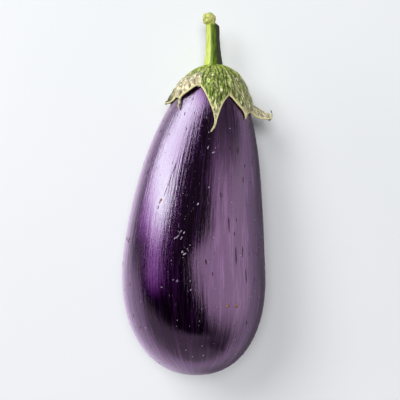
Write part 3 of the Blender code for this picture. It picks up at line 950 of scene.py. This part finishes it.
def calyxMaterial():              # calyx flesh: matt, ribbed, bristly, green to straw, with pale dry edges; painted shade in its furrows and folded hollow, painted light and shade on its beads
    material, tree, shader = newMaterial("ribbedCalyxFlesh")
    tone = addNode(tree, "ShaderNodeAttribute", attribute_name="calyxTone")
    shares = addNode(tree, "ShaderNodeSeparateColor", {0: tone.outputs["Color"]}).outputs
    bead = tone.outputs["Alpha"]
    place = addNode(tree, "ShaderNodeTexCoord").outputs["Object"]
    mottle = addNode(tree, "ShaderNodeTexNoise", {"Vector": place, "Scale": 160.0, "Detail": 3.0})
    drawn = addNode(tree, "ShaderNodeMapping", {"Vector": place, "Scale": (1.0, 0.24, 1.0)})
    speckle = addNode(tree, "ShaderNodeTexNoise", {"Vector": drawn, "Scale": 950.0, "Detail": 2.0})

    green = addNode(
        tree,
        "ShaderNodeValToRGB",
        {0: speckle.outputs["Fac"]},
        stops=[(0.32, "#4a6219"), (0.50, "#8fa243"), (0.66, "#dbe198")],
    ).outputs["Color"]
    straw = addNode(
        tree,
        "ShaderNodeValToRGB",
        {0: speckle.outputs["Fac"]},
        stops=[(0.34, "#b3a074"), (0.50, "#e2d5ac"), (0.64, "#f8f1de")],
    ).outputs["Color"]
    lime = addNode(
        tree,
        "ShaderNodeValToRGB",
        {0: mottle.outputs["Fac"]},
        stops=[(0.30, "#8fa926"), (0.60, "#c3d646")],
    ).outputs["Color"]
    feeds = {"Value": mottle, "From Min": 0.35, "From Max": 0.65, "To Min": -0.22, "To Max": 0.22}
    unevenness = addNode(tree, "ShaderNodeMapRange", feeds).outputs["Result"]
    dryness = addNode(
        tree, "ShaderNodeMath", {0: shares[2], 1: unevenness}, operation="ADD", use_clamp=True
    )
    body = green
    for share, layer in ((dryness.outputs[0], straw), (shares[0], lime)):
        feeds = {0: share, 6: body, 7: layer}
        body = addNode(tree, "ShaderNodeMix", feeds, data_type="RGBA").outputs[2]
    # Painted light and shade: the colour is lighter on raised beads and darker between them, following their
    # height.
    feeds = {"Value": bead, "From Min": -0.38, "From Max": 0.42, "To Min": 0.44, "To Max": 1.38}
    beadPaintedShade = addNode(tree, "ShaderNodeMapRange", feeds).outputs["Result"]
    beadPaintedShades = addNode(tree, "ShaderNodeCombineXYZ", {0: beadPaintedShade, 1: beadPaintedShade, 2: beadPaintedShade})
    body = addNode(tree, "ShaderNodeVectorMath", {0: body, 1: beadPaintedShades}, operation="MULTIPLY").outputs[0]
    edgeTone = addNode(tree, "ShaderNodeAttribute", attribute_name="calyxEdgeAndShade")
    edgeShares = addNode(tree, "ShaderNodeSeparateColor", {0: edgeTone.outputs["Color"]}).outputs
    for share, code in ((shares[1], "#263208"), (edgeShares[0], "#e3d9a6"), (edgeShares[1], "#2c2a0c")):
        feeds = {0: share, 6: body, 7: linearColour(code)}     # painted shade in the furrows, pale dry lips, and painted shade in the folded hollow
        body = addNode(tree, "ShaderNodeMix", feeds, data_type="RGBA").outputs[2]
    tree.links.new(body, shader.inputs["Base Color"])
    shader.inputs["Roughness"].default_value = 0.62
    shader.inputs["Specular IOR Level"].default_value = 0.25
    shader.inputs["Sheen Weight"].default_value = 0.05
    bump = addNode(
        tree, "ShaderNodeBump", {"Height": speckle.outputs["Fac"], "Strength": 0.5, "Distance": 0.0003}
    )
    tree.links.new(bump.outputs["Normal"], shader.inputs["Normal"])
    return material


curlHook = {                     # a dry thread that stands up from the curled sepal's tip
    "path": (
        (0.0500, 0.1672, 0.0),
        (0.0512, 0.1684, 0.0004),
        (0.0520, 0.1700, 0.0009),
        (0.0519, 0.1720, 0.0012),
        (0.0513, 0.1741, 0.0010),
    ),
    "radii": (0.0008, 0.0008, 0.0006, 0.00045, 0.0002),
    "sides": 10,
}


def addHook(shape):
    toneLayer = shape.verts.layers.float_color["calyxTone"]
    edgeLayer = shape.verts.layers.float_color["calyxEdgeAndShade"]
    steps = np.linspace(0.0, 1.0, 17)
    keys = np.linspace(0.0, 1.0, len(curlHook["radii"]))
    path = curveThrough(keys, np.array(curlHook["path"]), steps)
    radii = np.interp(steps, keys, curlHook["radii"])
    rings = []
    for index, (centre, radius) in enumerate(zip(path, radii)):
        ahead = path[min(index + 1, len(path) - 1)] - path[max(index - 1, 0)]
        ahead /= np.linalg.norm(ahead)
        first = np.cross(ahead, (0.0, 0.0, 1.0))
        first /= np.linalg.norm(first)
        second = np.cross(ahead, first)
        ring = []
        for turn in range(curlHook["sides"]):
            angle = 2 * pi * turn / curlHook["sides"]
            spot = centre + radius * (first * cos(angle) + second * sin(angle))
            vertex = shape.verts.new(layDown @ Vector(spot.tolist()))
            dry = 0.9 if index < 12 else 0.2
            vertex[toneLayer] = (0.0, 0.25 + 0.75 * (index > 12), dry, 0.0)
            vertex[edgeLayer] = (0.0, 0.0, 0.0, 1.0)
            ring.append(vertex)
        rings.append(ring)
    for before, after in zip(rings, rings[1:]):
        for turn in range(curlHook["sides"]):
            following = (turn + 1) % curlHook["sides"]
            shape.faces.new((before[turn], before[following], after[following], after[turn]))
    shape.faces.new(rings[0][::-1])
    shape.faces.new(rings[-1])


def makeCalyx():
    size = calyxShape
    rows, columns, cap = size["capRows"] + size["sepalRows"] + 1, size["columns"] + 1, size["capRows"]
    grids = [sepalGrid(sepal) for sepal in sepals]
    normals = [gridNormals(grid[0]) for grid in grids]
    for index in range(len(sepals)):                 # the cap's columns are shared by two sepals
        following = (index + 1) % len(sepals)
        shared = normals[index][: cap + 1, -1] + normals[following][: cap + 1, 0]
        shared /= np.linalg.norm(shared, axis=-1, keepdims=True)
        normals[index][: cap + 1, -1] = normals[following][: cap + 1, 0] = shared
    outer, inner, tones, edgeAndShadeTones = [], [], [], []
    for number, (sepal, grid, normal) in enumerate(zip(sepals, grids, normals)):
        points, across, along, bearing = grid
        rim = np.concatenate([points[cap:, 0], points[-1], points[cap:, -1]])[::2]
        flat = points.reshape(-1, 1, 3)
        edgeDistance = np.linalg.norm(flat - rim[None], axis=-1).min(1).reshape(across.shape)
        thickness = np.clip((along - 0.160) / 0.039, 0.0, 1.0) ** 1.2
        thickness = mix(size["fleshThickness"], size["crownThickness"], thickness)
        thinning = smooth(0.0, size["edgeWidth"], edgeDistance)
        thickness = mix(size["edgeThickness"], thickness, thinning)
        relief, furrow, beads = sepalRelief(number, sepal, points, across, along, bearing, edgeDistance)
        outer.append(points + normal * (thickness + relief)[..., None])
        inner.append(points)
        lip = 1 - smooth(size["lipWidth"] * 0.75, size["lipWidth"] * 1.25, edgeDistance)
        lime = smooth(0.1895, 0.1985, along) * (1 - 0.25 * sepal["tan"])
        dry = sepal["tan"] * smooth(0.1965, 0.1875, along) + 0.5 * smooth(0.178, 0.166, along)
        # tone shares: lime near the stem, painted shade in the furrows, dryness, and bead height for the
        # painted light and shade on the beads
        tones.append(np.stack([lime, furrow * (1 - 0.35 * sepal["tan"]), np.clip(dry, 0, 1), beads], -1))
        # Painted shade: the folded hollow of the far-left sepal is coloured dark olive where its raised
        # margin would shade it.
        paintedHollowShade = 4 * across * (1 - across) * min(sepal["sink"], 1.0) * (sepal["name"] == "farLeft")
        paintedHollowShade = paintedHollowShade * smooth(0.187, 0.183, along) * smooth(0.0004, 0.0012, edgeDistance)
        edgeAndShadeTones.append(np.stack([lip, paintedHollowShade, 0 * lip, 0 * lip + 1], -1))
    for index in range(len(sepals)):
        following = (index + 1) % len(sepals)
        for layer in (outer, tones, edgeAndShadeTones):
            shared = (layer[index][: cap + 1, -1] + layer[following][: cap + 1, 0]) / 2
            layer[index][: cap + 1, -1] = layer[following][: cap + 1, 0] = shared

    # Number every point once, then join the grids, their under sides and their rounded rims.
    ids = np.arange(len(sepals) * rows * columns).reshape(len(sepals), rows, columns)
    for index in range(len(sepals)):
        ids[index, : cap + 1, -1] = ids[(index + 1) % len(sepals), : cap + 1, 0]
    total = ids.size
    outerPoints = np.concatenate([points.reshape(-1, 3) for points in outer])
    innerPoints = np.concatenate([points.reshape(-1, 3) for points in inner])
    allTones = [np.concatenate([t.reshape(-1, 4) for t in layer]) for layer in (tones, edgeAndShadeTones)]
    quads = np.stack([ids[:, :-1, :-1], ids[:, :-1, 1:], ids[:, 1:, 1:], ids[:, 1:, :-1]], -1).reshape(-1, 4)
    faces = [tuple(quad) for quad in quads] + [tuple(quad[::-1] + total) for quad in quads]
    rimPoints, rimTones, rimIds = [], [[], []], {}

    def rimPoint(grid, row, column, inward):
        key = int(ids[grid, row, column])
        if key not in rimIds:
            top, bottom, inside = outerPoints[key], innerPoints[key], outer[grid][inward]
            away = top - inside
            away /= max(np.linalg.norm(away), 1e-9)
            rimIds[key] = 2 * total + len(rimPoints)
            rimPoints.append((top + bottom) / 2 + away * 0.4 * np.linalg.norm(top - bottom))
            for store, layer in zip(rimTones, allTones):
                store.append(layer[key])
        return key, rimIds[key], key + total

    for grid in range(len(sepals)):
        last = rows - 1
        path = [(row, 0, (row, 1)) for row in range(cap, last + 1)]
        path += [(last, column, (last - 1, column)) for column in range(1, columns - 1)]
        path += [(row, columns - 1, (row, columns - 2)) for row in range(last, cap - 1, -1)]
        path[0], path[-1] = (cap, 0, (cap - 1, 0)), (cap, columns - 1, (cap - 1, columns - 1))
        stations = [rimPoint(grid, *place) for place in path]
        for here, there in zip(stations, stations[1:]):
            faces.append((here[0], here[1], there[1], there[0]))
            faces.append((here[1], here[2], there[2], there[1]))
    crown = [int(i) for grid in range(len(sepals)) for i in ids[grid, 0, :-1]]
    tops = [outerPoints[crown].mean(0), innerPoints[crown].mean(0)]
    topIds = [2 * total + len(rimPoints), 2 * total + len(rimPoints) + 1]
    for here, there in zip(crown, crown[1:] + crown[:1]):
        faces.append((here, topIds[0], there))
        faces.append((there + total, topIds[1], here + total))
    points = np.concatenate([outerPoints, innerPoints, rimPoints, tops])
    layers = [np.concatenate([t, t, r, t[:1], t[:1]]) for t, r in zip(allTones, rimTones)]

    mesh = bpy.data.meshes.new("calyxCap")
    mesh.from_pydata(points.tolist(), [], [tuple(int(i) for i in face) for face in faces])
    setTone(mesh, "calyxTone", layers[0])
    setTone(mesh, "calyxEdgeAndShade", layers[1])
    mesh.transform(layDown)
    shape = bmesh.new()
    shape.from_mesh(mesh)
    addHook(shape)
    loose = [vertex for vertex in shape.verts if not vertex.link_faces]
    bmesh.ops.delete(shape, geom=loose, context="VERTS")
    bmesh.ops.dissolve_degenerate(shape, dist=1e-7, edges=shape.edges)
    shape.normal_update()
    bmesh.ops.recalc_face_normals(shape, faces=shape.faces)
    shape.to_mesh(mesh)
    shape.free()
    return finishPiece("calyxCap", mesh, calyxMaterial(), "calyx", "calyx")


makeCalyx()


# Stem: an angular stalk that flares into the cap, with a rough lump where it was cut.

stemShape = {
    "rings": 90,
    "segments": 120,
    "radius": 0.0046,
    "footFlare": 0.0030,
    "flarePower": 3.4,
    "footAlong": 0.2010,
    "endAlong": 0.2338,
    "footSway": 0.0134,
    "lean": -0.0006,
    "leanPower": 2.0,
    "cutSlant": -0.30,
    # Each corner is a bearing in degrees and a share of the radius.
    "corners": ((-96, 1.02), (-6, 1.03), (24, 1.0), (88, 0.95), (150, 1.04), (208, 1.0)),
    "lumpAcross": 0.0104,        # the cut end's lump
    "lumpAlong": 0.2362,
    "lumpRadii": (0.0045, 0.0043, 0.0043),
}


def stemSection(bearing):         # the stalk's angular outline, as a share of its radius
    corners = [(radians(angle), share) for angle, share in stemShape["corners"]]
    spots = np.array([(share * sin(angle), share * cos(angle)) for angle, share in corners])
    result = np.full(bearing.shape, 9.0)
    for here, there in zip(spots, np.roll(spots, -1, axis=0)):
        side = np.array([there[1] - here[1], here[0] - there[0]])
        side /= np.linalg.norm(side)
        if side @ here < 0:
            side = -side
        facing = np.sin(bearing) * side[0] + np.cos(bearing) * side[1]
        reach = (side @ here) / np.maximum(facing, 0.05)
        result = np.where(facing > 0.05, np.minimum(result, reach), result)
    return mix(result, 1.0, 0.12)


def stemMaterial():               # fresh stalk: satin, lime green, with painted shade darkening its right side, and a dry cut end
    material, tree, shader = newMaterial("freshStalkSkin")
    tone = addNode(tree, "ShaderNodeAttribute", attribute_name="stemTone")
    shares = addNode(tree, "ShaderNodeSeparateColor", {0: tone.outputs["Color"]}).outputs
    place = addNode(tree, "ShaderNodeTexCoord").outputs["Object"]
    stretched = addNode(tree, "ShaderNodeMapping", {"Vector": place, "Scale": (1.0, 0.12, 1.0)})
    fibres = addNode(tree, "ShaderNodeTexNoise", {"Vector": stretched, "Scale": 900.0, "Detail": 4.0})
    mottle = addNode(tree, "ShaderNodeTexNoise", {"Vector": place, "Scale": 420.0, "Detail": 3.0})

    pale = addNode(
        tree, "ShaderNodeValToRGB", {0: fibres}, stops=[(0.35, "#b4c238"), (0.65, "#dbe47c")]
    ).outputs["Color"]
    # the dark greens are painted shade for the stalk's right side
    paintedShadeGreen = addNode(
        tree, "ShaderNodeValToRGB", {0: fibres}, stops=[(0.38, "#2e3d08"), (0.62, "#5d7216")]
    ).outputs["Color"]
    cut = addNode(
        tree,
        "ShaderNodeValToRGB",
        {0: mottle},
        stops=[(0.32, "#7c8a34"), (0.48, "#b7bd5c"), (0.66, "#ddd796")],
    ).outputs["Color"]
    body = pale
    for share, layer in ((shares[0], paintedShadeGreen), (shares[1], cut), (shares[2], linearColour("#1d2508"))):
        feeds = {0: share, 6: body, 7: layer}
        body = addNode(tree, "ShaderNodeMix", feeds, data_type="RGBA").outputs[2]
    tree.links.new(body, shader.inputs["Base Color"])
    shader.inputs["Roughness"].default_value = 0.5
    shader.inputs["Specular IOR Level"].default_value = 0.3
    bump = addNode(tree, "ShaderNodeBump", {"Height": fibres, "Strength": 0.35, "Distance": 0.0003})
    tree.links.new(bump.outputs["Normal"], shader.inputs["Normal"])
    return material


def makeStem():
    size = stemShape
    bearing = np.linspace(-pi, pi, size["segments"], endpoint=False)
    heights = np.linspace(0.0, 1.0, size["rings"])
    section = stemSection(bearing)
    points, tones = [], []
    for height in heights:
        rounding = np.sqrt(max(1 - smooth(0.955, 1.0, height) ** 2 * 0.75, 0.0))
        flare = size["footFlare"] * (1 - height) ** size["flarePower"]
        radius = (size["radius"] * section + flare) * rounding
        across = radius * np.sin(bearing)
        along = mix(size["footAlong"], size["endAlong"] + size["cutSlant"] * across, height)
        centre = size["footSway"] + size["lean"] * height ** size["leanPower"]
        ring = np.stack([centre + across, along, radius * np.cos(bearing)], -1)
        points.append(ring)
        # Painted shade: the stalk's right side is coloured dark green, darkest on its far right facet, and
        # the cut end's pale tone is kept off that side.
        shade = smooth(radians(-36), radians(-14), bearing)
        shade *= 1 - smooth(radians(150), radians(178), bearing)
        end = smooth(0.90, 0.985, height) * (1 - 0.9 * smooth(0.0, 0.6, np.sin(bearing)))
        paintedDeepestShade = 0.9 * smooth(radians(14), radians(32), bearing) * shade
        tones.append(np.stack([shade, end, paintedDeepestShade, 1 + 0 * shade], -1))
    points, tones = np.array(points), np.array(tones)
    rings, segments = points.shape[:2]
    flat = points.reshape(-1, 3)
    rough = 0.00012 * bumpyNoise(flat * (1, 0.15, 1), 0.0006, 4.0) + 0.00018 * bumpyNoise(flat, 0.0022, 8.0)
    centres = np.stack([np.full(len(flat), size["footSway"]), flat[:, 1], np.zeros(len(flat))], -1)
    outward = flat - centres
    outward /= np.linalg.norm(outward, axis=-1, keepdims=True)
    flat = flat + outward * rough[:, None]
    ids = np.arange(rings * segments).reshape(rings, segments)
    following = np.roll(ids, -1, axis=1)
    quads = np.stack([ids[:-1], following[:-1], following[1:], ids[1:]], -1).reshape(-1, 4)
    faces = [tuple(int(i) for i in quad) for quad in quads]
    ends = [flat[ids[0]].mean(0), flat[ids[-1]].mean(0)]
    base = rings * segments
    for here, there in zip(ids[0], following[0]):
        faces.append((int(there), int(here), base))
    for here, there in zip(ids[-1], following[-1]):
        faces.append((int(here), int(there), base + 1))
    mesh = bpy.data.meshes.new("stemStalk")
    mesh.from_pydata(np.concatenate([flat, ends]).tolist(), [], faces)
    setTone(mesh, "stemTone", np.concatenate([tones.reshape(-1, 4), tones.reshape(-1, 4)[-2:]]))

    shape = bmesh.new()
    bmesh.ops.create_icosphere(shape, subdivisions=5, radius=1.0)
    lump = bpy.data.meshes.new("lump")
    lumpRadii = Vector(size["lumpRadii"])
    for vertex in shape.verts:
        direction = vertex.co.normalized()
        swell = 1 + 0.16 * noise.noise(direction * 1.7 + Vector((3.1, 0.0, 0.0)))
        swell += 0.09 * noise.noise(direction * 4.6) + 0.07 * noise.noise(direction * 10.0)
        vertex.co = Vector([d * r * swell for d, r in zip(direction, lumpRadii)])
        vertex.co += Vector((size["lumpAcross"], size["lumpAlong"], 0.0))
    shape.to_mesh(lump)
    shape.free()
    setTone(lump, "stemTone", np.tile((0.0, 1.0, 0.0, 1.0), (len(lump.vertices), 1)))
    shape = bmesh.new()
    shape.from_mesh(mesh)
    shape.from_mesh(lump)
    shape.normal_update()
    bmesh.ops.recalc_face_normals(shape, faces=shape.faces)
    shape.to_mesh(mesh)
    shape.free()
    mesh.transform(layDown)
    return finishPiece("stemStalk", mesh, stemMaterial(), "stem", "stem")


makeStem()
